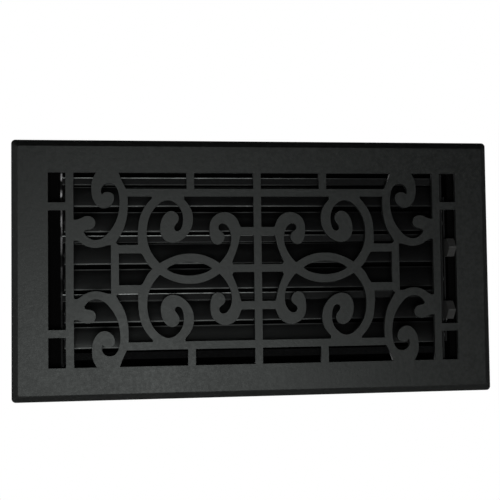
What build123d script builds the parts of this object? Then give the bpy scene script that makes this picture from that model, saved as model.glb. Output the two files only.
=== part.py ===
from build123d import *
import os
from math import acos, cos, degrees, radians, sin, sqrt

# Wall register for a 12 by 6 inch duct: a cast scroll face with a two-way louvre damper behind it.
# Millimetres. X runs right, Y runs into the wall and Z up; the origin is the middle of the wall plane.

# Face plate: a hollow-backed casting with a bevelled edge, open at the window.
PLATE_WIDTH = 355.6
PLATE_HEIGHT = 188.8
PLATE_DEPTH = 6.0
FACE_THICKNESS = 3.5
EDGE_BEVEL = 4.9
CREASE_RADIUS = 0.8
CORNER_RADIUS = 3.0
FRONT_CORNER_RADIUS = 1.5
RIM_WIDTH = 6.5
SIDE_BORDER = 26.2
TOP_BORDER = 24.15

# Scroll grille: straight bars, and scrolls given by their edges for the window's upper left quarter.
# Each edge is a smooth line through its x and z points; the drawing stretches with the window.
WINDOW_CORNER = (-151.6, 70.25)
BAR_WIDTH = 5.6
SIDE_BAR_X = 136.35
SIDE_TIE_Z = 45.75
CROSS_BAR_Z = 55.6
TOP_TIE_X = 49.2
BRACKET_X = 104.2
BRACKET_Z = 14.5
BRACKET_WIDTH = 6.0
CENTRE_TIE_Z = 27.25
CENTRE_TIE_WIDTH = 6.0
CORNER_UPPER_CURL = [
    (-117.2, 70.25), (-119.6, 66.0), (-120.6, 62.4), (-120.8, 58.0), (-120.4, 53.6), (-118.9, 49.3),
    (-116.4, 46.1), (-113.2, 44.4), (-110.0, 44.6), (-107.2, 46.2), (-105.3, 48.7), (-104.6, 51.6),
    (-105.2, 54.2), (-107.4, 55.7), (-110.2, 56.0), (-113.3, 54.2),
]
CORNER_INNER_EDGE = [
    (-113.3, 54.2), (-113.9, 56.9), (-113.0, 59.9), (-110.6, 61.9), (-107.6, 62.4), (-104.9, 61.6),
    (-102.8, 59.4), (-101.3, 55.4), (-100.6, 50.8), (-100.7, 46.0), (-101.3, 41.2), (-102.6, 36.5),
    (-104.9, 31.7), (-108.2, 27.0), (-112.1, 23.2), (-116.4, 21.4),
    (-120.6, 21.7), (-124.2, 23.9), (-126.1, 26.6),
]
CORNER_LOWER_CURL = [
    (-126.1, 26.6), (-125.4, 28.2), (-122.8, 28.8), (-120.0, 29.8), (-118.3, 31.9), (-118.1, 34.5),
    (-119.5, 37.1), (-122.2, 38.5), (-125.2, 38.4), (-128.8, 36.9), (-133.55, 36.1),
]
CORNER_FOOT = [
    (-133.55, 20.6), (-131.8, 21.1), (-129.2, 20.0), (-125.9, 17.7), (-122.2, 16.2), (-118.2, 15.6),
    (-114.2, 16.1), (-110.5, 17.2), (-107.0, 17.5),
]
CORNER_BACK = [
    (-103.5, 19.1), (-102.0, 21.9), (-99.1, 26.7), (-97.0, 31.6), (-95.6, 37.1), (-94.9, 42.4),
    (-94.7, 47.6), (-94.9, 52.8),
]
CORNER_NECK = [(-96.1, 58.4), (-98.2, 62.8), (-99.8, 66.4), (-101.2, 70.25)]
RING_BACK = [
    (-77.4, 51.3), (-81.2, 47.0), (-84.0, 42.6), (-85.9, 38.2), (-87.0, 33.2), (-87.5, 28.3), (-87.7, 23.4),
    (-87.6, 17.5),
]
RING_FOOT = [(-85.4, 11.5), (-83.3, 8.6), (-81.8, 5.6), (-79.8, 2.6), (-77.1, 0.0)]
RING_INNER_EDGE = [
    (-72.0, 4.1), (-75.4, 8.1), (-78.3, 12.6), (-80.3, 17.8), (-81.2, 23.2), (-81.2, 28.6), (-80.4, 34.0),
    (-78.8, 38.9), (-76.3, 43.2), (-73.1, 46.8), (-69.6, 49.2), (-66.0, 50.1), (-62.2, 49.2), (-58.8, 46.7),
    (-56.3, 43.2), (-55.0, 39.0), (-54.9, 34.4), (-55.8, 30.3), (-57.7, 27.8), (-59.8, 27.5), (-61.3, 29.2),
    (-60.8, 31.3), (-58.9, 33.9), (-58.0, 36.7), (-58.6, 39.3), (-60.6, 41.4), (-63.4, 42.2), (-66.5, 41.1),
    (-69.2, 38.2), (-70.9, 34.0), (-71.5, 29.4), (-70.8, 25.0), (-68.9, 21.7), (-66.0, 19.6), (-62.4, 18.9),
    (-58.4, 19.8), (-54.4, 22.2), (-51.0, 25.8), (-48.6, 30.3), (-47.6, 35.2), (-47.9, 40.2), (-49.5, 44.8),
    (-51.8, 48.2), (-53.9, 50.5),
]
EYE_OUTER_EDGE = [
    (-28.4, 3.9), (-32.8, 6.6), (-38.2, 9.1), (-44.1, 10.6), (-50.2, 11.0), (-56.4, 10.5), (-62.3, 8.9),
    (-67.4, 6.7), (-72.0, 4.1),
]
EYE_INNER_EDGE = [
    (-67.0, 0.0), (-64.4, 2.0), (-60.4, 3.6), (-55.5, 4.7), (-50.5, 5.1), (-45.5, 4.7), (-40.6, 3.6),
    (-36.6, 2.0), (-34.0, 0.0),
]
SMALL_CURL = [
    (-12.4, 30.25), (-13.4, 32.1), (-14.6, 35.1), (-16.9, 38.2), (-20.2, 40.4), (-24.2, 41.3), (-28.2, 40.6),
    (-31.6, 38.6), (-34.1, 35.6), (-35.3, 31.6), (-35.5, 27.2), (-34.9, 22.8), (-33.2, 19.2), (-30.4, 17.5),
    (-27.3, 18.3), (-25.1, 20.7), (-24.6, 23.9), (-26.3, 26.5), (-28.5, 28.4), (-28.9, 30.9), (-27.0, 32.8),
    (-24.4, 32.6), (-22.0, 30.5), (-20.3, 27.1), (-19.6, 23.0), (-20.0, 17.7), (-21.8, 12.8),
    (-24.6, 8.2), (-28.4, 3.9),
]
SMALL_BACK = [
    (-19.2, 4.6), (-17.6, 8.4), (-15.8, 12.9), (-14.4, 17.6), (-13.5, 21.6), (-12.8, 24.25),
]
SMALL_FOOT_X = -18.2

# Damper frame: two end plates held apart by four cross rails, all folded from sheet.
END_PLATE_INSET = 9.6
END_PLATE_THICKNESS = 1.2
DAMPER_FRONT = 1.0
DAMPER_DEPTH = 22.0
EAR_HEIGHT = 5.0
EAR_PAD = 10.0
EAR_REACH = 22.0
RAIL_THICKNESS = 0.9
RAIL_HEIGHT = 5.1
RAIL_LEG = 3.5
RAIL_TAB = 5.0
RAIL_SETBACK = 1.4
BAYS = 3
STACK_MARGIN = 12.7
STACK_RISE = 1.0
RIVET_DIAMETER = 2.4
RIVET_HEAD = 4.0
RIVET_HEAD_HEIGHT = 0.6

# Blades: crowned sheet strips, two to a bay, each on a pivot at its left end and a crank at its right.
BLADE_THICKNESS = 0.8
BLADE_CROWN = 1.4
BLADE_GAP = 0.55
BLADE_TUCK = 0.45
BLADE_END_GAP = 1.0
PIVOT_BACK = 2.3
BLADE_EAR = 7.0
REST_TILT = 31.0
CLOSED_TILT = 4.0
OPEN_TILT = 88.0
PIVOT_DIAMETER = 3.0
PIVOT_CLEARANCE = 0.3
COLLAR_DIAMETER = 5.0
HEAD_DIAMETER = 5.6
HEAD_HEIGHT = 1.0

# Linkage: each knob sits on a slide bar, and slots in the bar drive the crank pins of one set of blades.
CRANK_RADIUS = 6.4
CRANK_WIDTH = 5.0
CRANK_THICKNESS = 1.0
CRANK_PIN = 2.4
PIN_CLEARANCE = 0.2
SLIDE_GAP = 0.25
BAR_THICKNESS = 1.0
BAR_SPACING = 0.5
SLIDE_WIDTH = 8.0
SLIDE_END = 3.5
GUIDE_DIAMETER = 3.0
GUIDE_SHOULDER = 4.6
GUIDE_HEAD_HEIGHT = 0.8
GUIDE_OFFSET = 10.2
KNOB_WIDTH = 5.5
KNOB_HEIGHT = 13.5
KNOB_RIDGE = 5.5
KNOB_SHOULDER = 0.6
KNOB_SPACING = 47.0
KNOB_END_GAP = 0.6
KNOB_NOSE = 1.2
KNOB_TAB = 8.0
KNOB_TAB_REACH = 1.4
FIT_GAP = 0.1

# Screws that hold the damper to the back of the face.
SCREW_X = 7.0
SCREW_DIAMETER = 3.0
SCREW_HEAD = 5.6
SCREW_HEAD_HEIGHT = 1.15
SCREW_DEPTH = 2.7

# Places worked out from the sizes above.
FACE_FRONT = -PLATE_DEPTH
FACE_BACK = FACE_THICKNESS - PLATE_DEPTH
WINDOW_WIDTH = PLATE_WIDTH - 2 * SIDE_BORDER
WINDOW_HEIGHT = PLATE_HEIGHT - 2 * TOP_BORDER
STRETCH_X = WINDOW_WIDTH / (-2 * WINDOW_CORNER[0])
STRETCH_Z = WINDOW_HEIGHT / (2 * WINDOW_CORNER[1])
END_INNER = WINDOW_WIDTH / 2 - END_PLATE_INSET
END_OUTER = END_INNER + END_PLATE_THICKNESS
DAMPER_BACK = DAMPER_FRONT + DAMPER_DEPTH
PIVOT_Y = DAMPER_FRONT + DAMPER_DEPTH / 2
BAY_PITCH = (WINDOW_HEIGHT - STACK_MARGIN) / BAYS
PAIR_SPACING = (BAY_PITCH - RAIL_HEIGHT) / 2
SWING_RADIUS = (PAIR_SPACING - BLADE_GAP) / 2
RAIL_Y = DAMPER_FRONT + RAIL_SETBACK
RAIL_LEG_END = END_INNER - RAIL_THICKNESS - RIVET_HEAD_HEIGHT - SLIDE_GAP
RAIL_RIVET_Y = RAIL_Y + RAIL_THICKNESS + RAIL_TAB / 2
RAIL_Z = [STACK_RISE + BAY_PITCH * (BAYS / 2 - i) for i in range(BAYS + 1)]
BLADE_END = END_INNER - BLADE_END_GAP
MID_TILT = (CLOSED_TILT + OPEN_TILT) / 2
HALF_SWING = (OPEN_TILT - CLOSED_TILT) / 2
REST_CRANK = REST_TILT - MID_TILT
BAR_PER_RADIAN = CRANK_RADIUS * sin(radians(HALF_SWING)) / radians(HALF_SWING)
OPENING_TRAVEL = BAR_PER_RADIAN * radians(OPEN_TILT - REST_TILT)
CLOSING_TRAVEL = BAR_PER_RADIAN * radians(REST_TILT - CLOSED_TILT)
CRANK_IN = END_OUTER + SLIDE_GAP
CRANK_OUT = CRANK_IN + CRANK_THICKNESS
INNER_BAR = CRANK_OUT + SLIDE_GAP
OUTER_BAR = INNER_BAR + BAR_THICKNESS + BAR_SPACING
SLOT_END_Z = SIDE_TIE_Z * STRETCH_Z - BAR_WIDTH / 2
LOWER_KNOB_Z = KNOB_HEIGHT / 2 + CLOSING_TRAVEL + KNOB_END_GAP - SLOT_END_Z
UPPER_KNOB_Z = LOWER_KNOB_Z + KNOB_SPACING
EAR_Z = SIDE_TIE_Z * STRETCH_Z
EAR_SCREW_X = WINDOW_WIDTH / 2 + SCREW_X
KNOB_FRONT = FACE_FRONT - KNOB_SHOULDER
KNOB_BACK = DAMPER_FRONT - 2 * SLIDE_GAP
TAB_FRONT = KNOB_FRONT - KNOB_TAB_REACH


def upper_pivot(bay):
    """Height of the pivot of a bay's upper blade, which tucks up behind the rail above it."""
    return RAIL_Z[bay] - RAIL_HEIGHT / 2 + BLADE_TUCK - SWING_RADIUS


UPPER_SET = [upper_pivot(bay) for bay in range(BAYS)]
LOWER_SET = [z - PAIR_SPACING for z in UPPER_SET]
UPPER_GUIDES = [z - GUIDE_OFFSET for z in UPPER_SET[:2]]
LOWER_GUIDES = [LOWER_SET[0] + GUIDE_OFFSET, LOWER_SET[-1] + GUIDE_OFFSET]
FRONT = -1
REAR = 1


def pin_lead(tilt):
    """How far a crank pin is ahead of its bar when the blade has opened to a tilt."""
    pin = CRANK_RADIUS * (sin(radians(tilt - MID_TILT)) - sin(radians(REST_CRANK)))
    return pin - BAR_PER_RADIAN * radians(tilt - REST_TILT)


EVEN_TILT = degrees(acos(BAR_PER_RADIAN / CRANK_RADIUS))
LEADS = [pin_lead(tilt) for tilt in (CLOSED_TILT, MID_TILT - EVEN_TILT, MID_TILT + EVEN_TILT, OPEN_TILT)]
LEAD_MIDDLE = (max(LEADS) + min(LEADS)) / 2
LEAD_SPREAD = max(LEADS) - min(LEADS)
PIN_NEAR = CRANK_RADIUS * cos(radians(HALF_SWING))
PIN_LINE = (CRANK_RADIUS + PIN_NEAR) / 2
YOKE_HEIGHT = CRANK_PIN + LEAD_SPREAD + 2 * PIN_CLEARANCE
YOKE_LENGTH = CRANK_PIN + CRANK_RADIUS - PIN_NEAR + 2 * PIN_CLEARANCE
GUIDE_SLOT_WIDTH = GUIDE_DIAMETER + 2 * PIVOT_CLEARANCE
GUIDE_SLOT_LENGTH = OPENING_TRAVEL + CLOSING_TRAVEL + GUIDE_SLOT_WIDTH


def box(x0, x1, y0, y1, z0, z1):
    """Block between two corners."""
    middle = Pos((x0 + x1) / 2, (y0 + y1) / 2, (z0 + z1) / 2)
    return middle * Box(abs(x1 - x0), abs(y1 - y0), abs(z1 - z0))


def rod(x0, x1, y, z, diameter):
    """Round bar along X."""
    return Pos((x0 + x1) / 2, y, z) * Rot(Y=90) * Cylinder(diameter / 2, abs(x1 - x0))


def face_up(edges):
    """Flat face from its edges, turned to look along +Z."""
    face = make_face(edges).face()
    return face if face.normal_at().Z > 0 else -face


def straight(x0, x1, z0, z1):
    """Runs round a rectangle of the drawing."""
    corners = [(x0, z0), (x1, z0), (x1, z1), (x0, z1)]
    return [list(run) for run in zip(corners, corners[1:] + corners[:1])]


def joined(*runs):
    """Ring of runs, with a straight run put in wherever one does not start where the last one ended."""
    ring = []
    for run, following in zip(runs, runs[1:] + runs[:1]):
        ring.append(run)
        if run[-1] != following[0]:
            ring.append([run[-1], following[0]])
    return ring


def across(*runs):
    """Ring of runs above the middle line, closed by the same runs mirrored below it."""
    below = [[(x, -z) for x, z in reversed(run)] for run in reversed(runs)]
    return joined(*runs, *below)


def opening(ring, side_x, side_z):
    """Face of one opening, stretched with the window and set in one of its quarters."""
    edges = []
    for run in ring:
        points = [(x * STRETCH_X * side_x, z * STRETCH_Z * side_z) for x, z in run]
        edges.append(Line(*points) if len(points) == 2 else Spline(*points))
    return face_up(edges)


def grille_openings():
    """Faces of the grille's openings: a quarter's in each quarter, and the middle line's on both sides."""
    half = BAR_WIDTH / 2
    edge, top = WINDOW_CORNER
    side_out = -SIDE_BAR_X - half
    side_in = -SIDE_BAR_X + half
    tie_top = SIDE_TIE_Z + half
    tie_foot = SIDE_TIE_Z - half
    cross_top = CROSS_BAR_Z + half
    cross_foot = CROSS_BAR_Z - half
    bracket_left = -BRACKET_X - half
    bracket_right = -BRACKET_X + half
    bracket_top = BRACKET_Z + BRACKET_WIDTH / 2
    bracket_foot = BRACKET_Z - BRACKET_WIDTH / 2
    centre_top = CENTRE_TIE_Z + CENTRE_TIE_WIDTH / 2
    centre_foot = CENTRE_TIE_Z - CENTRE_TIE_WIDTH / 2
    tie_left = -TOP_TIE_X - half
    quarter = [
        straight(edge, side_out, tie_top, top),
        straight(-TOP_TIE_X + half, -half, cross_top, top),
        joined([(side_in, top), CORNER_UPPER_CURL[0]], CORNER_UPPER_CURL, CORNER_INNER_EDGE,
               CORNER_LOWER_CURL),
        joined([CORNER_NECK[-1], (tie_left, top)], [(tie_left, cross_top), CORNER_NECK[0]], CORNER_NECK),
        joined(RING_BACK, [(bracket_right, bracket_top), CORNER_BACK[0]], CORNER_BACK,
               [(CORNER_BACK[-1][0], cross_foot), (RING_BACK[0][0], cross_foot)]),
        joined([(RING_INNER_EDGE[-1][0], cross_foot), (-half, cross_foot)],
               [(-half, centre_top), SMALL_CURL[0]], SMALL_CURL, EYE_OUTER_EDGE, RING_INNER_EDGE),
        joined([SMALL_BACK[-1], (-half, centre_foot)], [(-half, half), (SMALL_FOOT_X, half)], SMALL_BACK),
    ]
    middle = [
        straight(edge, side_out, -tie_foot, tie_foot),
        across([(side_in, 0), CORNER_FOOT[0]], CORNER_FOOT, [CORNER_FOOT[-1], (bracket_left, 0)]),
        across([(bracket_right, 0), (bracket_right, bracket_foot)], RING_FOOT),
        across(EYE_INNER_EDGE),
    ]
    faces = [opening(ring, x, z) for ring in quarter for x in (-1, 1) for z in (-1, 1)]
    return faces + [opening(ring, x, 1) for ring in middle for x in (-1, 1)]


def face_plate():
    """Cast face: bevelled slab, hollow back, and the grille's openings cut through."""
    outline = RectangleRounded(PLATE_WIDTH, PLATE_HEIGHT, CORNER_RADIUS)
    front_width = PLATE_WIDTH - 2 * EDGE_BEVEL
    front_height = PLATE_HEIGHT - 2 * EDGE_BEVEL
    front = RectangleRounded(front_width, front_height, FRONT_CORNER_RADIUS)
    side_depth = PLATE_DEPTH - EDGE_BEVEL
    slab = extrude(Plane.XZ * outline, side_depth)
    slab += loft([Plane.XZ.offset(side_depth) * outline, Plane.XZ.offset(PLATE_DEPTH) * front], ruled=True)
    crease = slab.faces().sort_by(Axis.Y)[0].edges()
    slab = fillet(crease, CREASE_RADIUS)
    hollow_width = PLATE_WIDTH - 2 * RIM_WIDTH
    hollow_height = PLATE_HEIGHT - 2 * RIM_WIDTH
    slab -= extrude(Plane.XZ * Rectangle(hollow_width, hollow_height), -FACE_BACK)
    slab -= [extrude(Plane.XZ * face, PLATE_DEPTH) for face in grille_openings()]
    hole_depth = SCREW_DEPTH + SLIDE_GAP
    for x in (-1, 1):
        for z in (-1, 1):
            circle = Pos(x * EAR_SCREW_X, z * EAR_Z) * Circle(SCREW_DIAMETER / 2 + FIT_GAP)
            slab -= extrude(Plane.XZ.offset(-FACE_BACK) * circle, hole_depth)
    return slab


def end_plate(side):
    """End plate of the damper, with pivot holes and two ears that reach out behind the side ties."""
    height = WINDOW_HEIGHT / 2
    x_in = side * END_INNER
    x_out = side * END_OUTER
    ear_front = FACE_BACK
    ear_back = FACE_BACK + END_PLATE_THICKNESS
    ear_end = side * (END_INNER + EAR_REACH)
    plate = box(x_in, x_out, DAMPER_FRONT, DAMPER_BACK, -height, height)
    for z in (-EAR_Z, EAR_Z):
        plate += box(x_in, x_out, ear_front, DAMPER_FRONT, z - EAR_HEIGHT / 2, z + EAR_HEIGHT / 2)
        plate += box(x_in, ear_end, ear_front, ear_back, z - EAR_HEIGHT / 2, z + EAR_HEIGHT / 2)
        pad_x = side * (EAR_SCREW_X - EAR_PAD / 2)
        plate += box(pad_x, ear_end, ear_front, ear_back, z - EAR_PAD / 2, z + EAR_PAD / 2)
        circle = Pos(side * EAR_SCREW_X, z) * Circle(SCREW_DIAMETER / 2 + FIT_GAP)
        plate -= extrude(Plane.XZ.offset(-ear_back) * circle, END_PLATE_THICKNESS)
    for z in UPPER_SET + LOWER_SET:
        plate -= rod(x_in, x_out, PIVOT_Y, z, PIVOT_DIAMETER + 2 * PIVOT_CLEARANCE)
    for z in RAIL_Z:
        plate -= rod(x_in, x_out, RAIL_RIVET_Y, z, RIVET_DIAMETER + 2 * FIT_GAP)
    return plate


def right_end_plate():
    """Right end plate, which also carries the rivets that guide the slide bars."""
    plate = end_plate(1)
    for side, guides in ((REAR, UPPER_GUIDES), (FRONT, LOWER_GUIDES)):
        for z in guides:
            line = PIVOT_Y + side * PIN_LINE
            plate -= rod(END_INNER, END_OUTER, line, z, GUIDE_DIAMETER + 2 * FIT_GAP)
    return plate


def rail(z):
    """Cross rail: an angle with its edge up, and a tab turned back at each end for a rivet."""
    top = z + RAIL_HEIGHT / 2
    bottom = z - RAIL_HEIGHT / 2
    back = RAIL_Y + RAIL_THICKNESS
    body = box(-END_INNER, END_INNER, RAIL_Y, back, bottom, top)
    body += box(-RAIL_LEG_END, RAIL_LEG_END, RAIL_Y, back + RAIL_LEG, bottom, bottom + RAIL_THICKNESS)
    for side in (-1, 1):
        tab_in = side * (END_INNER - RAIL_THICKNESS)
        body += box(tab_in, side * END_INNER, RAIL_Y, back + RAIL_TAB, bottom, top)
        body -= rod(tab_in, side * END_INNER, RAIL_RIVET_Y, z, RIVET_DIAMETER + 2 * FIT_GAP)
    return body


def rail_rivets():
    """Rivets through the rails' tabs and the end plates, headed on both sides."""
    rivets = []
    for z in RAIL_Z:
        for side in (-1, 1):
            tab_face = side * (END_INNER - RAIL_THICKNESS)
            plate_face = side * END_OUTER
            rivet = rod(tab_face, plate_face, RAIL_RIVET_Y, z, RIVET_DIAMETER)
            rivet += rod(tab_face, tab_face - side * RIVET_HEAD_HEIGHT, RAIL_RIVET_Y, z, RIVET_HEAD)
            rivet += rod(plate_face, plate_face + side * RIVET_HEAD_HEIGHT, RAIL_RIVET_Y, z, RIVET_HEAD)
            rivets.append(rivet)
    return Compound([rivet.solid() for rivet in rivets])


def at_rest(shape, z):
    """Turns a blade's piece from closed to its rest tilt and sets it on its pivot."""
    return Pos(0, PIVOT_Y, z) * Rot(X=-REST_TILT) * shape


def blade(z):
    """Crowned blade with an ear bent back at each end for its pivots."""
    half = sqrt(SWING_RADIUS ** 2 - PIVOT_BACK ** 2)
    front = -PIVOT_BACK - BLADE_THICKNESS / 2
    back = -PIVOT_BACK + BLADE_THICKNESS / 2
    edges = [
        ThreePointArc((front + BLADE_CROWN, -half), (front, 0), (front + BLADE_CROWN, half)),
        ThreePointArc((back + BLADE_CROWN, -half), (back, 0), (back + BLADE_CROWN, half)),
        Line((front + BLADE_CROWN, -half), (back + BLADE_CROWN, -half)),
        Line((front + BLADE_CROWN, half), (back + BLADE_CROWN, half)),
    ]
    section = Plane.YZ.offset(-BLADE_END) * face_up(edges)
    sheet = extrude(section, 2 * BLADE_END)
    for side in (-1, 1):
        ear_in = side * (BLADE_END - BLADE_THICKNESS)
        ear_out = side * BLADE_END
        ear = box(ear_in, ear_out, -PIVOT_BACK, BLADE_EAR / 2, -BLADE_EAR / 2, BLADE_EAR / 2)
        sheet += ear
        sheet -= rod(ear_in, ear_out, 0, 0, PIVOT_DIAMETER + 2 * FIT_GAP)
    return at_rest(sheet, z)


def left_pivot(z):
    """Headed pin on a blade's left ear that turns in the left end plate."""
    ear_in = -BLADE_END + BLADE_THICKNESS
    head = -END_OUTER - SLIDE_GAP
    pin = rod(ear_in, head, 0, 0, PIVOT_DIAMETER)
    pin += rod(-BLADE_END, -END_INNER + SLIDE_GAP, 0, 0, COLLAR_DIAMETER)
    pin += rod(head, head - HEAD_HEIGHT, 0, 0, HEAD_DIAMETER)
    return at_rest(pin, z)


def crank(z, side, bar_x):
    """Crank on a blade's right ear: a stub shaft through the end plate, an arm and a bar pin."""
    pin_y = side * CRANK_RADIUS
    shaft = rod(BLADE_END - BLADE_THICKNESS, CRANK_OUT, 0, 0, PIVOT_DIAMETER)
    shaft += rod(BLADE_END, END_INNER - SLIDE_GAP, 0, 0, COLLAR_DIAMETER)
    arm = Plane.YZ.offset(CRANK_IN) * Pos(pin_y / 2, 0) * SlotCenterToCenter(CRANK_RADIUS, CRANK_WIDTH)
    shaft += extrude(arm, CRANK_THICKNESS)
    shaft += rod(CRANK_OUT, bar_x + BAR_THICKNESS + SLIDE_GAP, pin_y, 0, CRANK_PIN)
    return Pos(0, PIVOT_Y, z) * Rot(X=-REST_CRANK) * shaft


def slide_bar(pivots, side, bar_x, knob_z, guides):
    """Slide bar: a flat strip with a slot for each crank pin and guide, and a tab for its knob.

    The set with its pins in front (side -1) opens as the bar rises, the other as it falls.
    """
    line = PIVOT_Y + side * PIN_LINE
    rest = -side * (CRANK_RADIUS * sin(radians(REST_CRANK)) + LEAD_MIDDLE)
    drift = side * (OPENING_TRAVEL - CLOSING_TRAVEL) / 2
    slots = [(z + rest, YOKE_LENGTH, YOKE_HEIGHT) for z in pivots]
    slots += [(z + drift, GUIDE_SLOT_WIDTH, GUIDE_SLOT_LENGTH) for z in guides]
    bottom = min(z - height / 2 for z, length, height in slots) - SLIDE_END
    top = max(z + height / 2 for z, length, height in slots) + SLIDE_END
    outline = Pos(line, (bottom + top) / 2) * Rectangle(SLIDE_WIDTH, top - bottom)
    outline += Pos((TAB_FRONT + line) / 2, knob_z) * Rectangle(line - TAB_FRONT, KNOB_TAB)
    for z, length, height in slots:
        outline -= Pos(line, z) * Rectangle(length, height)
    return extrude(Plane.YZ.offset(bar_x) * outline, BAR_THICKNESS)


def knob(bar_x, knob_z):
    """Thumb knob: a gabled nose with a level ridge, pushed on the bar's tab."""
    ridge = KNOB_FRONT - KNOB_RIDGE
    half = KNOB_HEIGHT / 2
    nose = KNOB_NOSE / 2
    middle = bar_x + BAR_THICKNESS / 2
    outline = Polyline(
        (KNOB_BACK, -half), (KNOB_BACK, half), (KNOB_FRONT, half),
        (ridge, nose), (ridge, -nose), (KNOB_FRONT, -half),
        close=True,
    )
    body = extrude(Plane.YZ.offset(middle - KNOB_WIDTH / 2) * face_up(outline.edges()), KNOB_WIDTH)
    pocket_x = BAR_THICKNESS / 2 + FIT_GAP
    pocket_z = KNOB_TAB / 2 + FIT_GAP
    body -= box(middle - pocket_x, middle + pocket_x, TAB_FRONT - FIT_GAP, KNOB_BACK, -pocket_z, pocket_z)
    return Pos(0, 0, knob_z) * body


def guide_rivets(side, bar_x, guides):
    """Shoulder rivets on the right end plate that keep a slide bar upright."""
    line = PIVOT_Y + side * PIN_LINE
    bar_out = bar_x + BAR_THICKNESS
    head = bar_out + SLIDE_GAP / 2
    rivets = []
    for z in guides:
        rivet = rod(END_INNER, bar_out + SLIDE_GAP, line, z, GUIDE_DIAMETER)
        rivet += rod(END_OUTER, bar_x - SLIDE_GAP / 2, line, z, GUIDE_SHOULDER)
        rivet += rod(head, head + GUIDE_HEAD_HEIGHT, line, z, HEAD_DIAMETER)
        rivets.append(rivet)
    return Compound([rivet.solid() for rivet in rivets])


def damper_screws():
    """Pan-head screws through the ears into the back of the face."""
    ear_back = FACE_BACK + END_PLATE_THICKNESS
    screws = []
    for x in (-1, 1):
        for z in (-1, 1):
            place = Plane.XZ.offset(-ear_back) * Pos(x * EAR_SCREW_X, z * EAR_Z)
            shank = extrude(place * Circle(SCREW_DIAMETER / 2), END_PLATE_THICKNESS + SCREW_DEPTH)
            head = extrude(place * Circle(SCREW_HEAD / 2), -SCREW_HEAD_HEIGHT)
            screws.append(shank + head)
    return Compound([screw.solid() for screw in screws])


def register_parts():
    """Every piece of the register, by name."""
    parts = {
        "face_plate": face_plate(),
        "left_end_plate": end_plate(-1),
        "right_end_plate": right_end_plate(),
        "top_rail": rail(RAIL_Z[0]),
        "upper_cross_rail": rail(RAIL_Z[1]),
        "lower_cross_rail": rail(RAIL_Z[2]),
        "bottom_rail": rail(RAIL_Z[3]),
        "rail_rivets": rail_rivets(),
        "upper_slide_bar": slide_bar(UPPER_SET, REAR, OUTER_BAR, UPPER_KNOB_Z, UPPER_GUIDES),
        "lower_slide_bar": slide_bar(LOWER_SET, FRONT, INNER_BAR, LOWER_KNOB_Z, LOWER_GUIDES),
        "upper_knob": knob(OUTER_BAR, UPPER_KNOB_Z),
        "lower_knob": knob(INNER_BAR, LOWER_KNOB_Z),
        "upper_bar_guides": guide_rivets(REAR, OUTER_BAR, UPPER_GUIDES),
        "lower_bar_guides": guide_rivets(FRONT, INNER_BAR, LOWER_GUIDES),
        "damper_screws": damper_screws(),
    }
    for bay in range(BAYS):
        for number, z, side, bar_x in (
            (2 * bay + 1, UPPER_SET[bay], REAR, OUTER_BAR),
            (2 * bay + 2, LOWER_SET[bay], FRONT, INNER_BAR),
        ):
            parts[f"blade_{number}"] = blade(z)
            parts[f"pivot_{number}"] = left_pivot(z)
            parts[f"crank_{number}"] = crank(z, side, bar_x)
    return parts


os.makedirs("parts", exist_ok=True)
for name, shape in register_parts().items():
    export_step(shape, f"parts/{name}.step")
print(f"bar travel: {BAR_PER_RADIAN:.4f} a radian, {OPENING_TRAVEL:.4f} open, {CLOSING_TRAVEL:.4f} shut")
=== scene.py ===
"""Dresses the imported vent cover, a scrollwork face over a tilting-blade damper, for its portrait."""

import logging
from dataclasses import dataclass, replace
from enum import Enum

import bpy
import numpy as np
from mathutils import Matrix, Vector

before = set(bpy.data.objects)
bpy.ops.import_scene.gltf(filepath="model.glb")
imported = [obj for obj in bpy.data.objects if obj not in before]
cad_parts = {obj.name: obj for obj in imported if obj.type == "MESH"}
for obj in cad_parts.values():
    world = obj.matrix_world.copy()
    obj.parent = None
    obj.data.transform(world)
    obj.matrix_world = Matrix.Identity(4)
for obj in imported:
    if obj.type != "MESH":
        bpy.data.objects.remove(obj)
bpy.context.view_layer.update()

log = logging.getLogger("vent_cover")

# Short names for the types in the hints. Fed is what a socket can be fed with.
Colour = tuple[float, float, float, float]
Place = tuple[float, float, float]
Span = tuple[float, float]
Tree = bpy.types.NodeTree
Socket = bpy.types.NodeSocket
Sockets = bpy.types.bpy_prop_collection
Fed = Socket | float | tuple[float, ...]


class Effect(Enum):
    """The shader effects that several finishes share."""

    GRAIN = "powder_grain"
    CUT_EDGE = "cut_edge"
    HANDLING = "handling_marks"
    # bare lines along strip edges, partly wear and partly painted edge highlights
    WORN_AND_HIGHLIGHT_LINE = "worn_line"
    LIT_END = "lit_end"


class SocketKind(Enum):
    """What a group's socket carries."""

    VECTOR = "NodeSocketVector"
    VALUE = "NodeSocketFloat"


class Slope(Enum):
    """How a ramp runs from one level to the other."""

    STRAIGHT = "LINEAR"
    SMOOTH = "SMOOTHSTEP"


class Mixed(Enum):
    """What a Mix node mixes: Blender's word for it, and the numbers of its sockets A, B and Result."""

    VALUE = ("FLOAT", 2, 3, 0)
    COLOUR = ("RGBA", 6, 7, 2)


def feed(tree: Tree, value: Fed, socket: Socket) -> None:
    """Gives a socket its value.

    Args:
        tree: the node tree that holds the socket.
        value: another socket to link from, or a plain number, place or colour.
        socket: the socket to feed.
    """
    if isinstance(value, Socket):
        tree.links.new(value, socket)
    else:
        socket.default_value = value


def fill(tree: Tree, node: bpy.types.Node, given: dict[str, Fed]) -> None:
    """Feeds a node's inputs by name.

    Args:
        tree: the node tree that holds the node.
        node: the node to feed.
        given: input name to what it is fed with.
    """
    for name, value in given.items():
        feed(tree, value, node.inputs[name])


def maths(tree: Tree, operation: str, *values: Socket | float) -> Socket:
    """Works out one value from others.

    Args:
        tree: the node tree to add to.
        operation: the Math node's operation.
        values: what it works on, in order.

    Returns:
        The result's socket.
    """
    node = tree.nodes.new("ShaderNodeMath")
    node.operation = operation
    for value, socket in zip(values, node.inputs):
        feed(tree, value, socket)
    return node.outputs[0]


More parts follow.
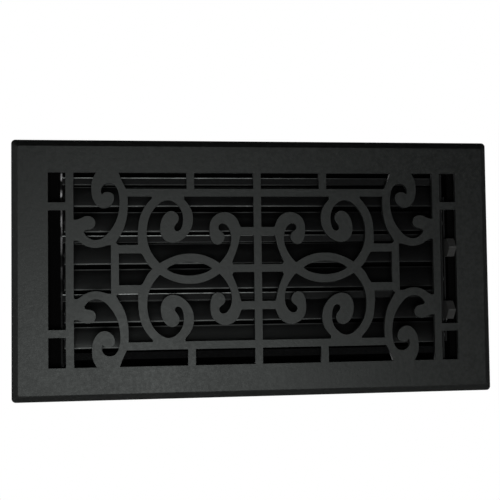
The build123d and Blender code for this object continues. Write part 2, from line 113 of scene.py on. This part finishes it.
def vector_maths(tree: Tree, operation: str, first: Socket, second: Socket) -> Sockets:
    """Works on two vectors.

    Args:
        tree: the node tree to add to.
        operation: the Vector Math node's operation.
        first: the first vector.
        second: the second vector.

    Returns:
        The node's outputs, Vector and Value, of which the operation fills one.
    """
    node = tree.nodes.new("ShaderNodeVectorMath")
    node.operation = operation
    tree.links.new(first, node.inputs[0])
    tree.links.new(second, node.inputs[1])
    return node.outputs


def axes(tree: Tree, vector: Socket) -> Sockets:
    """Splits a vector.

    Args:
        tree: the node tree to add to.
        vector: the vector to split.

    Returns:
        Its X, Y and Z.
    """
    node = tree.nodes.new("ShaderNodeSeparateXYZ")
    tree.links.new(vector, node.inputs[0])
    return node.outputs


def ramp(tree: Tree, value: Socket, span: tuple[Fed, Fed], levels: Span = (0.0, 1.0),
         slope: Slope = Slope.STRAIGHT) -> Socket:
    """Takes one level to another as a value crosses a span, and holds them outside it.

    Args:
        tree: the node tree to add to.
        value: the value to read.
        span: where the change starts and ends.
        levels: the levels before and after it.
        slope: how it runs between them.

    Returns:
        The level's socket.
    """
    node = tree.nodes.new("ShaderNodeMapRange")
    node.interpolation_type = slope.value
    fill(tree, node, {"Value": value, "From Min": span[0], "From Max": span[1],
                      "To Min": levels[0], "To Max": levels[1]})
    return node.outputs["Result"]


def mix(tree: Tree, kind: Mixed, mask: Socket, low: Fed, high: Fed) -> Socket:
    """Mixes two values or colours by a mask.

    Args:
        tree: the node tree to add to.
        kind: what is mixed.
        mask: the socket that steers the mix.
        low: what stands where the mask is 0.
        high: what stands where the mask is 1.

    Returns:
        The mixed socket.
    """
    word, first, second, result = kind.value
    node = tree.nodes.new("ShaderNodeMix")
    node.data_type = word
    tree.links.new(mask, node.inputs["Factor"])
    feed(tree, low, node.inputs[first])
    feed(tree, high, node.inputs[second])
    return node.outputs[result]


def shared_group(effect: Effect, vectors: tuple[str, ...], values: tuple[str, ...],
                 results: tuple[str, ...]) -> tuple[Tree, Sockets, Sockets]:
    """Makes the node group of a shared effect, with its named sockets.

    Args:
        effect: which effect the group holds.
        vectors: names of the vectors that it takes.
        values: names of the values that it takes.
        results: names of the values that it puts out.

    Returns:
        The group's tree, the sockets that bring what it takes, and the sockets that its results go to.
    """
    tree = bpy.data.node_groups.new(effect.value, "ShaderNodeTree")
    for names, way, kind in ((vectors, "INPUT", SocketKind.VECTOR), (values, "INPUT", SocketKind.VALUE),
                             (results, "OUTPUT", SocketKind.VALUE)):
        for name in names:
            tree.interface.new_socket(name=name, in_out=way, socket_type=kind.value)
    start = tree.nodes.new("NodeGroupInput")
    end = tree.nodes.new("NodeGroupOutput")
    return tree, start.outputs, end.inputs


def placed(tree: Tree, effect: Effect, given: dict[str, Fed]) -> Sockets:
    """Places a shared effect in a material.

    Args:
        tree: the material's node tree.
        effect: the effect to place.
        given: input name to what it is fed with.

    Returns:
        The effect's outputs.
    """
    node = tree.nodes.new("ShaderNodeGroup")
    node.node_tree = bpy.data.node_groups[effect.value]
    fill(tree, node, given)
    return node.outputs


def lit_end(tree: Tree, place: Socket, span: Span) -> Socket:
    """Marks the left end of long strips.

    Args:
        tree: the material's node tree.
        place: the object coordinates.
        span: where along X the mark starts to fall off and where it ends, in metres.

    Returns:
        The mask's socket.
    """
    near, far = span
    return placed(tree, Effect.LIT_END, {"Vector": place, "Near X": near, "Far X": far})["Mask"]


@dataclass(frozen=True)
class Speckle:
    """A noise, by its scale over a metre and its octaves of detail."""

    scale: float
    detail: float

    def pattern(self, tree: Tree, place: Socket) -> Socket:
        """Adds the noise to a node tree.

        Args:
            tree: the node tree to add to.
            place: the coordinates that it is read at.

        Returns:
            The noise's socket.
        """
        node = tree.nodes.new("ShaderNodeTexNoise")
        fill(tree, node, {"Vector": place, "Scale": self.scale, "Detail": self.detail})
        return node.outputs["Fac"]


@dataclass
class EffectShelf:
    """Builds each shared shader effect once, for the finishes to place. Lengths are in metres."""

    fine: Speckle = Speckle(1500.0, 2.0)
    coarse: Speckle = Speckle(430.0, 3.0)
    marks: Speckle = Speckle(16.0, 4.0)
    wear: Speckle = Speckle(90.0, 3.0)
    patches: Speckle = Speckle(70.0, 2.0)
    stretch_span: Span = (0.35, 0.65)
    facing_span: Span = (0.93, 0.97)
    patch_span: Span = (0.47, 0.53)
    wear_span: Span = (0.30, 0.52)
    wear_levels: Span = (0.45, 1.0)
    fade_power: float = 3.0
    line_softness: float = 0.00025

    def build(self) -> None:
        """Builds all the groups."""
        self.grain_group()
        self.cut_edge_group()
        self.handling_group()
        self.worn_and_highlight_line_group()
        self.lit_end_group()

    def grain_group(self) -> None:
        """Powder coat's orange peel: fine and coarse noise in given shares, and the coarse one as tone."""
        tree, taken, results = shared_group(Effect.GRAIN, ("Vector",), ("Fine Share",), ("Height", "Tone"))
        fine = self.fine.pattern(tree, taken["Vector"])
        coarse = self.coarse.pattern(tree, taken["Vector"])
        tree.links.new(mix(tree, Mixed.VALUE, taken["Fine Share"], coarse, fine), results["Height"])
        tree.links.new(ramp(tree, coarse, self.stretch_span), results["Tone"])

    def cut_edge_group(self) -> None:
        """Bare metal on sheared edges that look along the given direction, either way.

        The bare metal can be broken up by patches of paint, and fades out from a height downwards, which is
        painted shade.
        """
        tree, taken, results = shared_group(Effect.CUT_EDGE, ("Vector", "Normal", "Direction"),
                                            ("Broken", "Fade Low", "Fade High"), ("Mask",))
        facing = vector_maths(tree, "DOT_PRODUCT", taken["Normal"], taken["Direction"])["Value"]
        edge = ramp(tree, maths(tree, "POWER", facing, 2.0), self.facing_span)
        painted = ramp(tree, self.patches.pattern(tree, taken["Vector"]), self.patch_span)
        hidden = maths(tree, "MULTIPLY", painted, taken["Broken"])
        bare = maths(tree, "MULTIPLY", edge, maths(tree, "SUBTRACT", 1.0, hidden))
        # painted shade: below the given heights the bare metal fades out, dimmest at the foot
        height = axes(tree, taken["Vector"])["Z"]
        fade = ramp(tree, height, (taken["Fade Low"], taken["Fade High"]))
        mask = maths(tree, "MULTIPLY", bare, maths(tree, "POWER", fade, self.fade_power))
        tree.links.new(mask, results["Mask"])

    def handling_group(self) -> None:
        """Broad faint marks from handling: a large soft noise, stretched to stand out from its middle."""
        tree, taken, results = shared_group(Effect.HANDLING, ("Vector",), (), ("Mask",))
        marks = self.marks.pattern(tree, taken["Vector"])
        tree.links.new(ramp(tree, marks, self.stretch_span), results["Mask"])

    def worn_and_highlight_line_group(self) -> None:
        """Bare lines along the upper and lower edge of sheet strips at an even pitch: wear and painted edge
        highlights.

        A strip's height is measured along the given direction from the nearest strip's middle line.
        """
        tree, taken, results = shared_group(Effect.WORN_AND_HIGHLIGHT_LINE, ("Vector", "Middle", "Direction"),
                                            ("Pitch", "Half Height", "Upper Width", "Lower Width"),
                                            ("Upper", "Lower"))
        offset = axes(tree, vector_maths(tree, "SUBTRACT", taken["Vector"], taken["Middle"])["Vector"])
        half_pitch = maths(tree, "MULTIPLY", taken["Pitch"], 0.5)
        nearest = maths(tree, "WRAP", offset["Z"], half_pitch, maths(tree, "MULTIPLY", half_pitch, -1.0))
        place = tree.nodes.new("ShaderNodeCombineXYZ")
        fill(tree, place, {"Y": offset["Y"], "Z": nearest})
        height = vector_maths(tree, "DOT_PRODUCT", place.outputs[0], taken["Direction"])["Value"]
        share = ramp(tree, self.wear.pattern(tree, taken["Vector"]), self.wear_span, self.wear_levels)
        for name, operation in (("Upper", "SUBTRACT"), ("Lower", "ADD")):
            reach = maths(tree, operation, taken["Half Height"], height)
            inside = maths(tree, "SUBTRACT", taken[f"{name} Width"], reach)
            line = ramp(tree, inside, (0.0, self.line_softness))
            tree.links.new(maths(tree, "MULTIPLY", line, share), results[name])

    def lit_end_group(self) -> None:
        """The left end of long strips: 1 up to a first place along X, falling smoothly to 0 at a second."""
        tree, taken, results = shared_group(Effect.LIT_END, ("Vector",), ("Near X", "Far X"), ("Mask",))
        along = axes(tree, taken["Vector"])["X"]
        fall = ramp(tree, along, (taken["Near X"], taken["Far X"]), (1.0, 0.0), Slope.SMOOTH)
        tree.links.new(fall, results["Mask"])


@dataclass(frozen=True)
class WornAndHighlightEdge:
    """Bare lines along the edges of a set of sheet strips: partly wear, partly painted highlights of the
    edges.

    Sizes are in metres. The upper and lower shares say how bare the lines are, and the far share how much of
    that is left at the far end: painted light, brightest at the left end and dimmer along the strip.
    """

    middle: Place
    direction: Place
    half_height: float
    upper_width: float
    lower_width: float
    upper_share: float
    lower_share: float
    pitch: float = 0.0426
    far_share: float = 0.06
    lit_span: Span = (-0.05, 0.08)

    def mask(self, tree: Tree, place: Socket, sheared: Socket) -> Socket:
        """Adds the lines, wear and painted highlights, to a material's bare edges, dimmer toward the far end
        as painted light.

        Args:
            tree: the material's node tree.
            place: the object coordinates.
            sheared: the mask of the bare sheared edges.

        Returns:
            The mask's socket.
        """
        lines = placed(tree, Effect.WORN_AND_HIGHLIGHT_LINE, {
            "Vector": place, "Middle": self.middle, "Direction": self.direction,
            "Pitch": self.pitch, "Half Height": self.half_height,
            "Upper Width": self.upper_width, "Lower Width": self.lower_width})
        upper = maths(tree, "MULTIPLY", lines["Upper"], self.upper_share)
        lower = maths(tree, "MULTIPLY", lines["Lower"], self.lower_share)
        wear_and_highlight = maths(tree, "MAXIMUM", maths(tree, "MAXIMUM", upper, lower), sheared)
        # painted light: the lines and bare edges dim from the lit left end to the far end
        along = mix(tree, Mixed.VALUE, lit_end(tree, place, self.lit_span), self.far_share, 1.0)
        return maths(tree, "MULTIPLY", wear_and_highlight, along)


@dataclass(frozen=True)
class Finish:
    """One surface finish, made as a procedural material.

    Lengths are in metres. The gloss span lies along X, and the bare metal's fade along Z, a painted shade
    that dims it downwards, by default below the cover, where it takes nothing away.
    """

    name: str
    low_colour: Colour
    high_colour: Colour
    low_roughness: float
    high_roughness: float
    specular: float = 0.5
    tint: Colour = (0.94, 1.0, 0.97, 1.0)
    metallic: float = 0.0
    grain_depth: float = 0.00003
    grain_strength: float = 0.12
    grain_roughness: float = 0.0
    fine_share: float = 0.5
    far_roughness: float | None = None
    gloss_span: Span = (-0.14, 0.03)
    bare_colour: Colour | None = None
    bare_roughness: float = 0.5
    bare_metal: float = 0.75
    bare_direction: Place = (0.0, 0.0, 1.0)
    bare_share: float = 1.0
    bare_broken: float = 0.0
    # painted shade: the bare metal fades out below this span of heights
    edge_light_fade: Span = (-1.0, -0.9)
    # bare lines along strip edges: partly wear, partly painted edge highlights
    wear_and_highlight: WornAndHighlightEdge | None = None

    def material(self) -> bpy.types.Material:
        """Builds the material: grain gives the colour's tone and the bump, and bare edges, partly painted
        highlights, lie over it.

        Returns:
            The finished material.
        """
        made = bpy.data.materials.new(self.name)
        made.use_nodes = True
        tree = made.node_tree
        surface = tree.nodes.new("ShaderNodeTexCoord").outputs
        place = surface["Object"]
        grain = placed(tree, Effect.GRAIN, {"Vector": place, "Fine Share": self.fine_share})
        shade = mix(tree, Mixed.COLOUR, grain["Tone"], self.low_colour, self.high_colour)
        rough = self.roughness(tree, place, grain["Tone"])
        metal = self.metallic
        # bare metal on cut edges, with the bare lines that are partly painted edge highlights
        if self.bare_colour is not None:
            bare = self.bare_and_highlight_edges(tree, place, surface["Normal"])
            shade = mix(tree, Mixed.COLOUR, bare, shade, self.bare_colour)
            rough = mix(tree, Mixed.VALUE, bare, rough, self.bare_roughness)
            metal = maths(tree, "MULTIPLY", bare, self.bare_metal)
        bump = tree.nodes.new("ShaderNodeBump")
        fill(tree, bump, {"Strength": self.grain_strength, "Distance": self.grain_depth,
                          "Height": grain["Height"]})
        fill(tree, tree.nodes["Principled BSDF"], {
            "Base Color": shade, "Roughness": rough, "Metallic": metal, "Normal": bump.outputs["Normal"],
            "Specular IOR Level": self.specular, "Specular Tint": self.tint})
        return made

    def roughness(self, tree: Tree, place: Socket, tone: Socket) -> Socket:
        """Steers the roughness by handling marks, adds the grain's and leads it over to the far end's.

        Args:
            tree: the material's node tree.
            place: the object coordinates.
            tone: the grain's tone.

        Returns:
            The roughness's socket.
        """
        marks = placed(tree, Effect.HANDLING, {"Vector": place})["Mask"]
        rough = mix(tree, Mixed.VALUE, marks, self.low_roughness, self.high_roughness)
        if self.grain_roughness:
            rough = maths(tree, "ADD", rough, maths(tree, "MULTIPLY", tone, self.grain_roughness))
        if self.far_roughness is not None:
            rough = mix(tree, Mixed.VALUE, lit_end(tree, place, self.gloss_span), self.far_roughness, rough)
        return rough

    def bare_and_highlight_edges(self, tree: Tree, place: Socket, normal: Socket) -> Socket:
        """Marks where bare metal shows: on sheared edges, and in lines along edges that are partly wear and
        partly painted highlights.

        Args:
            tree: the material's node tree.
            place: the object coordinates.
            normal: the object's normal.

        Returns:
            The mask's socket.
        """
        fade_low, fade_high = self.edge_light_fade
        edge = placed(tree, Effect.CUT_EDGE, {
            "Vector": place, "Normal": normal, "Direction": self.bare_direction, "Broken": self.bare_broken,
            "Fade Low": fade_low, "Fade High": fade_high})
        sheared = maths(tree, "MULTIPLY", edge["Mask"], self.bare_share)
        if self.wear_and_highlight is None:
            return sheared
        return self.wear_and_highlight.mask(tree, place, sheared)


BLADE_TILT = np.radians(31.0)
BLADE_CHORD = (0.0, float(np.sin(BLADE_TILT)), float(np.cos(BLADE_TILT)))
BLADE_DEPTH = 0.012
BARE_STEEL: Colour = (0.30, 0.30, 0.305, 1.0)
# colour of the bare lines: burnished metal that also paints the edges' highlights
BURNISHED_AND_HIGHLIGHT: Colour = (0.26, 0.275, 0.268, 1.0)
# lines along the blades' edges: partly wear, partly painted highlights
UPPER_BLADE_WEAR_AND_HIGHLIGHT = WornAndHighlightEdge(middle=(0.0, BLADE_DEPTH, 0.0111), direction=BLADE_CHORD, half_height=0.0088,
                            upper_width=0.0006, lower_width=0.0006, upper_share=0.9, lower_share=0.8)
LOWER_BLADE_WEAR_AND_HIGHLIGHT = replace(UPPER_BLADE_WEAR_AND_HIGHLIGHT, middle=(0.0, BLADE_DEPTH, -0.00765), upper_width=0.0011)
# lines along the rails' edges: partly wear, partly painted highlights
RAIL_WEAR_AND_HIGHLIGHT = WornAndHighlightEdge(middle=(0.0, 0.0, 0.0223), direction=(0.0, 0.0, 1.0), half_height=0.00255,
                     upper_width=0.0006, lower_width=0.0005, upper_share=0.9, lower_share=0.15)

FACE_COAT = Finish("face_powder_coat", (0.0066, 0.0071, 0.0069, 1), (0.0120, 0.0127, 0.0124, 1), 0.43, 0.46,
                   specular=0.28, grain_depth=0.00012, grain_strength=1.0, grain_roughness=0.07,
                   fine_share=0.25)
UPPER_BLADE_PAINT = Finish("upper_blade_paint", (0.0035, 0.0035, 0.0037, 1), (0.0050, 0.0050, 0.0052, 1),
                           0.47, 0.53, specular=0.45, far_roughness=0.32, bare_colour=BURNISHED_AND_HIGHLIGHT,
                           bare_direction=BLADE_CHORD, wear_and_highlight=UPPER_BLADE_WEAR_AND_HIGHLIGHT)
LOWER_BLADE_PAINT = replace(UPPER_BLADE_PAINT, name="lower_blade_paint", wear_and_highlight=LOWER_BLADE_WEAR_AND_HIGHLIGHT)
# painted sheen: the lowest blade's stronger specular stands in for light falling on it
LOWEST_BLADE_SHEEN_PAINT = replace(LOWER_BLADE_PAINT, name="lowest_blade_sheen_paint", specular=1.0,
                             gloss_span=(0.0, 0.12))
RAIL_PAINT = Finish("rail_paint", (0.0035, 0.0035, 0.0037, 1), (0.0055, 0.0055, 0.0057, 1), 0.60, 0.66,
                    specular=0.08, bare_colour=BURNISHED_AND_HIGHLIGHT, wear_and_highlight=RAIL_WEAR_AND_HIGHLIGHT)
# left end plate: its bare front edge is bright at the top and fades out downwards as painted shade
FRAME_PAINT = Finish("frame_paint", (0.0020, 0.0020, 0.0021, 1), (0.0032, 0.0032, 0.0033, 1), 0.50, 0.58,
                     specular=0.04, bare_colour=BARE_STEEL, bare_direction=(0.0, 1.0, 0.0),
                     bare_share=0.9, bare_broken=1.0, edge_light_fade=(-0.065, 0.055))
BAR_PAINT = Finish("bar_paint", (0.0045, 0.0045, 0.0047, 1), (0.0065, 0.0065, 0.0067, 1), 0.50, 0.58,
                   specular=0.12)
# painted shade: a darker, duller copy of the rail paint for the shaded bottom rail
SHADED_SILL_PAINT = Finish("shaded_sill_paint", (0.0015, 0.0015, 0.0016, 1), (0.0030, 0.0030, 0.0032, 1), 0.66, 0.72,
                    specular=0.03)
PLATED_STEEL = Finish("plated_steel", (0.40, 0.40, 0.41, 1), (0.50, 0.50, 0.50, 1), 0.30, 0.42,
                      metallic=1.0, grain_strength=0.08)
BLACKENED_STEEL = Finish("blackened_steel", (0.018, 0.018, 0.019, 1), (0.026, 0.026, 0.027, 1), 0.48, 0.56,
                         specular=0.12, metallic=0.3, grain_strength=0.08)
KNOB_PLASTIC = Finish("knob_plastic", (0.027, 0.027, 0.0264, 1), (0.033, 0.033, 0.0323, 1), 0.42, 0.50,
                      specular=0.3, grain_strength=0.2)
CRANK_PLASTIC = Finish("crank_plastic", (0.020, 0.020, 0.0205, 1), (0.026, 0.026, 0.0265, 1), 0.45, 0.52,
                       specular=0.4, grain_strength=0.2)


@dataclass
class SubAssembly:
    """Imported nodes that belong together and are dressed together."""

    title: str

    def finishes(self) -> dict[str, Finish]:
        """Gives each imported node's finish by the node's name, as each kind of sub-assembly says."""
        raise NotImplementedError(self.title)

    def dress(self, made: dict[str, bpy.types.Material]) -> None:
        """Puts each node's finish in its material slot.

        Args:
            made: finish name to its material, filled in as finishes are first used.
        """
        for node, finish in self.finishes().items():
            if finish.name not in made:
                made[finish.name] = finish.material()
            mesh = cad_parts[node].data
            mesh.materials.clear()
            mesh.materials.append(made[finish.name])
            log.info("%s: %s in %s", self.title, node, finish.name)


@dataclass
class ScrollFace(SubAssembly):
    """The cast face with its scroll grille."""

    title: str = "face"

    def finishes(self) -> dict[str, Finish]:
        """Gives the one casting its powder coat."""
        return {"face_plate": FACE_COAT}


@dataclass
class DamperFrame(SubAssembly):
    """The damper's end plates and cross rails, with the rivets and screws that hold the damper."""

    title: str = "damper frame"

    def finishes(self) -> dict[str, Finish]:
        """Gives the sheet pieces their paints, the bottom rail a darker one as painted shade, and the
        fasteners their plating.

        Returns:
            Node name to finish.
        """
        # the left end plate's bare front edge fades out downwards as painted shade
        ends = {"left_end_plate": FRAME_PAINT, "right_end_plate": BAR_PAINT}
        rails = dict.fromkeys(("top_rail", "upper_cross_rail", "lower_cross_rail"), RAIL_PAINT)
        # painted shade: the bottom rail gets the darkest paint
        rails["bottom_rail"] = SHADED_SILL_PAINT
        fasteners = dict.fromkeys(("rail_rivets", "upper_bar_guides", "lower_bar_guides", "damper_screws"),
                                  PLATED_STEEL)
        return {**ends, **rails, **fasteners}


@dataclass
class DamperBlades(SubAssembly):
    """The tilting blades, two to a bay, with their pivots and cranks."""

    title: str = "damper blades"
    count: int = 6

    def finishes(self) -> dict[str, Finish]:
        """Gives the upper and lower blades of the bays their paints, and the lowest blade one with a painted
        sheen.

        Returns:
            Node name to finish.
        """
        numbers = range(1, self.count + 1)
        blades = {f"blade_{n}": UPPER_BLADE_PAINT if n % 2 else LOWER_BLADE_PAINT for n in numbers}
        # painted sheen on the lowest blade
        blades[f"blade_{self.count}"] = LOWEST_BLADE_SHEEN_PAINT
        pivots = {f"pivot_{n}": BLACKENED_STEEL for n in numbers}
        cranks = {f"crank_{n}": CRANK_PLASTIC for n in numbers}
        return {**blades, **pivots, **cranks}


@dataclass
class DamperSlides(SubAssembly):
    """The two slide bars with their knobs."""

    title: str = "damper slides"
    slides: tuple[str, str] = ("upper", "lower")

    def finishes(self) -> dict[str, Finish]:
        """Gives the bars their paint and the knobs their plastic.

        Returns:
            Node name to finish.
        """
        bars = {f"{slide}_slide_bar": BAR_PAINT for slide in self.slides}
        knobs = {f"{slide}_knob": KNOB_PLASTIC for slide in self.slides}
        return {**bars, **knobs}


@dataclass(frozen=True)
class Softbox:
    """One soft rectangular lamp that faces the cover, in metres and watts."""

    name: str
    middle: Place
    width: float
    height: float
    power: float

    def hang(self, scene: bpy.types.Scene) -> None:
        """Hangs the lamp.

        Args:
            scene: the scene to add to.
        """
        data = bpy.data.lights.new(self.name, "AREA")
        data.shape = "RECTANGLE"
        data.size = self.width
        data.size_y = self.height
        data.energy = self.power
        lamp = bpy.data.objects.new(self.name, data)
        facing = (-Vector(self.middle)).to_track_quat("-Z", "Y")
        lamp.matrix_world = Matrix.Translation(self.middle) @ facing.to_matrix().to_4x4()
        scene.collection.objects.link(lamp)


KEY_SOFTBOX = Softbox("key_softbox", middle=(-0.11, -1.0, -0.285), width=0.45, height=0.45, power=7.7)
LEFT_FILL = Softbox("left_fill", middle=(-1.0, -0.25, 0.05), width=0.5, height=0.5, power=0.9)


@dataclass
class Studio:
    """The camera, the lamps, the white surround, the floor and the dark duct, a card of painted shade.

    Lengths are in metres, except the camera's lens and sensor, which are in millimetres.
    """

    lens: float = 64.592
    sensor_width: float = 36.0
    clip_start: float = 0.02
    camera_place: Place = (-0.08781, -0.66031, -0.01342)
    camera_right: Place = (0.992232, -0.123787, -0.012315)
    camera_up: Place = (0.007196, -0.041719, 0.999103)
    camera_back: Place = (-0.12419, -0.991431, -0.040504)
    lamps: tuple[Softbox, ...] = (KEY_SOFTBOX, LEFT_FILL)
    surround_colour: Colour = (1.0, 1.0, 1.0, 1.0)
    surround_light: float = 0.8
    ceiling_span: Span = (0.38, 0.66)
    ceiling_shade: float = 0.04
    wall_span: Span = (0.55, 0.92)
    front_shade: float = 0.06
    floor_height: float = -0.45
    floor_radius: float = 1.0
    floor_corners: int = 96
    floor_colour: Colour = (0.86, 0.86, 0.86, 1.0)
    floor_roughness: float = 0.9
    duct_sides: Span = (-0.1434, 0.1484)
    duct_heights: Span = (-0.0735, 0.0755)
    duct_depths: Span = (0.0035, 0.0245)
    duct_lip: float = 0.013
    # black of the painted shade cards
    duct_shade_colour: Colour = (0.002, 0.002, 0.002, 1.0)

    def build(self) -> None:
        """Sets up everything around the object."""
        scene = bpy.context.scene
        scene.view_settings.view_transform = "Standard"
        self.camera(scene)
        self.surround(scene)
        self.floor(scene)
        self.painted_shade_duct(scene)
        for lamp in self.lamps:
            lamp.hang(scene)

    def camera(self, scene: bpy.types.Scene) -> None:
        """Stands the camera where the photo was taken from.

        Args:
            scene: the scene to film.
        """
        data = bpy.data.cameras.new("portrait_camera")
        data.lens = self.lens
        data.sensor_width = self.sensor_width
        data.clip_start = self.clip_start
        camera = bpy.data.objects.new("portrait_camera", data)
        turn = Matrix((self.camera_right, self.camera_up, self.camera_back)).transposed()
        camera.matrix_world = Matrix.Translation(self.camera_place) @ turn.to_4x4()
        scene.collection.objects.link(camera)
        scene.camera = camera

    def surround(self, scene: bpy.types.Scene) -> None:
        """White walls behind the cover and dimmer ones in front, under a dark ceiling.

        The eye sees plain white. Reflections see the walls themselves, and matt light is a share of them.
        The spans are in the upward and backward parts of a look's direction, whose length is 1.

        Args:
            scene: the scene that gets the world.
        """
        world = bpy.data.worlds.new("studio_surround")
        world.use_nodes = True
        tree = world.node_tree
        way = axes(tree, tree.nodes.new("ShaderNodeTexCoord").outputs["Generated"])
        height = ramp(tree, way["Z"], self.ceiling_span, (1.0, self.ceiling_shade), Slope.SMOOTH)
        depth = ramp(tree, way["Y"], self.wall_span, (self.front_shade, 1.0), Slope.SMOOTH)
        path = tree.nodes.new("ShaderNodeLightPath").outputs
        mirror = maths(tree, "MAXIMUM", path["Is Glossy Ray"], path["Is Transmission Ray"])
        share = mix(tree, Mixed.VALUE, mirror, self.surround_light, 1.0)
        walls = maths(tree, "MULTIPLY", maths(tree, "MULTIPLY", height, depth), share)
        seen = maths(tree, "MAXIMUM", walls, path["Is Camera Ray"])
        fill(tree, tree.nodes["Background"], {"Color": self.surround_colour, "Strength": seen})
        scene.world = world

    def floor(self, scene: bpy.types.Scene) -> None:
        """A plain white floor disc, well below the cover, which hangs as on a wall.

        The rim is the cosine and sine of evenly spaced turns, times the radius.

        Args:
            scene: the scene to add to.
        """
        turn = np.linspace(0.0, 2 * np.pi, self.floor_corners, endpoint=False)
        rim = np.stack([self.floor_radius * np.cos(turn), self.floor_radius * np.sin(turn),
                        np.full_like(turn, self.floor_height)], axis=1)
        face = np.arange(self.floor_corners)[np.newaxis]
        tree = self.stage_piece(scene, "studio_floor", rim, face)
        fill(tree, tree.nodes["Principled BSDF"],
             {"Base Color": self.floor_colour, "Roughness": self.floor_roughness})

    def painted_shade_duct(self, scene: bpy.types.Scene) -> None:
        """Painted shade behind the cover: black cards for the unlit duct, seen only from the front, by the
        eye and in reflections.

        The cards stand behind the damper, outside the slide bars and behind the side slots. They follow one
        line, in along the face, back, across, forward and out again, raised from foot to head.

        Args:
            scene: the scene to add to.
        """
        left, right = self.duct_sides
        near, far = self.duct_depths
        line = np.array([(left - self.duct_lip, near), (left, near), (left, far),
                         (right, far), (right, near), (right + self.duct_lip, near)])
        count = len(line)
        corners = np.concatenate([np.column_stack([line, np.full(count, z)]) for z in self.duct_heights])
        first = np.arange(count - 1)
        faces = np.stack([first, first + 1, first + 1 + count, first + count], axis=1)
        tree = self.stage_piece(scene, "painted_shade_duct", corners, faces)
        # the cards' black is painted shade
        ink = tree.nodes["Principled BSDF"]
        fill(tree, ink, {"Base Color": self.duct_shade_colour, "Specular IOR Level": 0.0})
        clear = tree.nodes.new("ShaderNodeBsdfTransparent")
        path = tree.nodes.new("ShaderNodeLightPath").outputs
        side = tree.nodes.new("ShaderNodeNewGeometry").outputs
        seen = maths(tree, "MAXIMUM", path["Is Camera Ray"], path["Is Glossy Ray"])
        shown = tree.nodes.new("ShaderNodeMixShader")
        tree.links.new(maths(tree, "SUBTRACT", seen, side["Backfacing"]), shown.inputs["Fac"])
        tree.links.new(clear.outputs[0], shown.inputs[1])
        tree.links.new(ink.outputs[0], shown.inputs[2])
        tree.links.new(shown.outputs[0], tree.nodes["Material Output"].inputs["Surface"])

    def stage_piece(self, scene: bpy.types.Scene, name: str, corners: np.ndarray, faces: np.ndarray) -> Tree:
        """Makes a flat-faced piece of the stage with a material of its own.

        Args:
            scene: the scene to add to.
            name: the piece's name.
            corners: its corners, one row each, in metres.
            faces: the corner numbers of its faces, one row each.

        Returns:
            The node tree of its material.
        """
        mesh = bpy.data.meshes.new(name)
        mesh.from_pydata(corners.tolist(), [], faces.tolist())
        paint = bpy.data.materials.new(name)
        paint.use_nodes = True
        mesh.materials.append(paint)
        piece = bpy.data.objects.new(name, mesh)
        scene.collection.objects.link(piece)
        log.info("studio: %s", name)
        return paint.node_tree


def main() -> None:
    """Dresses the cover and sets up the studio."""
    logging.basicConfig(level=logging.INFO, format="%(name)s %(message)s")
    EffectShelf().build()
    made: dict[str, bpy.types.Material] = {}
    for part in (ScrollFace(), DamperFrame(), DamperBlades(), DamperSlides()):
        part.dress(made)
    Studio().build()


if __name__ == "__main__":
    main()
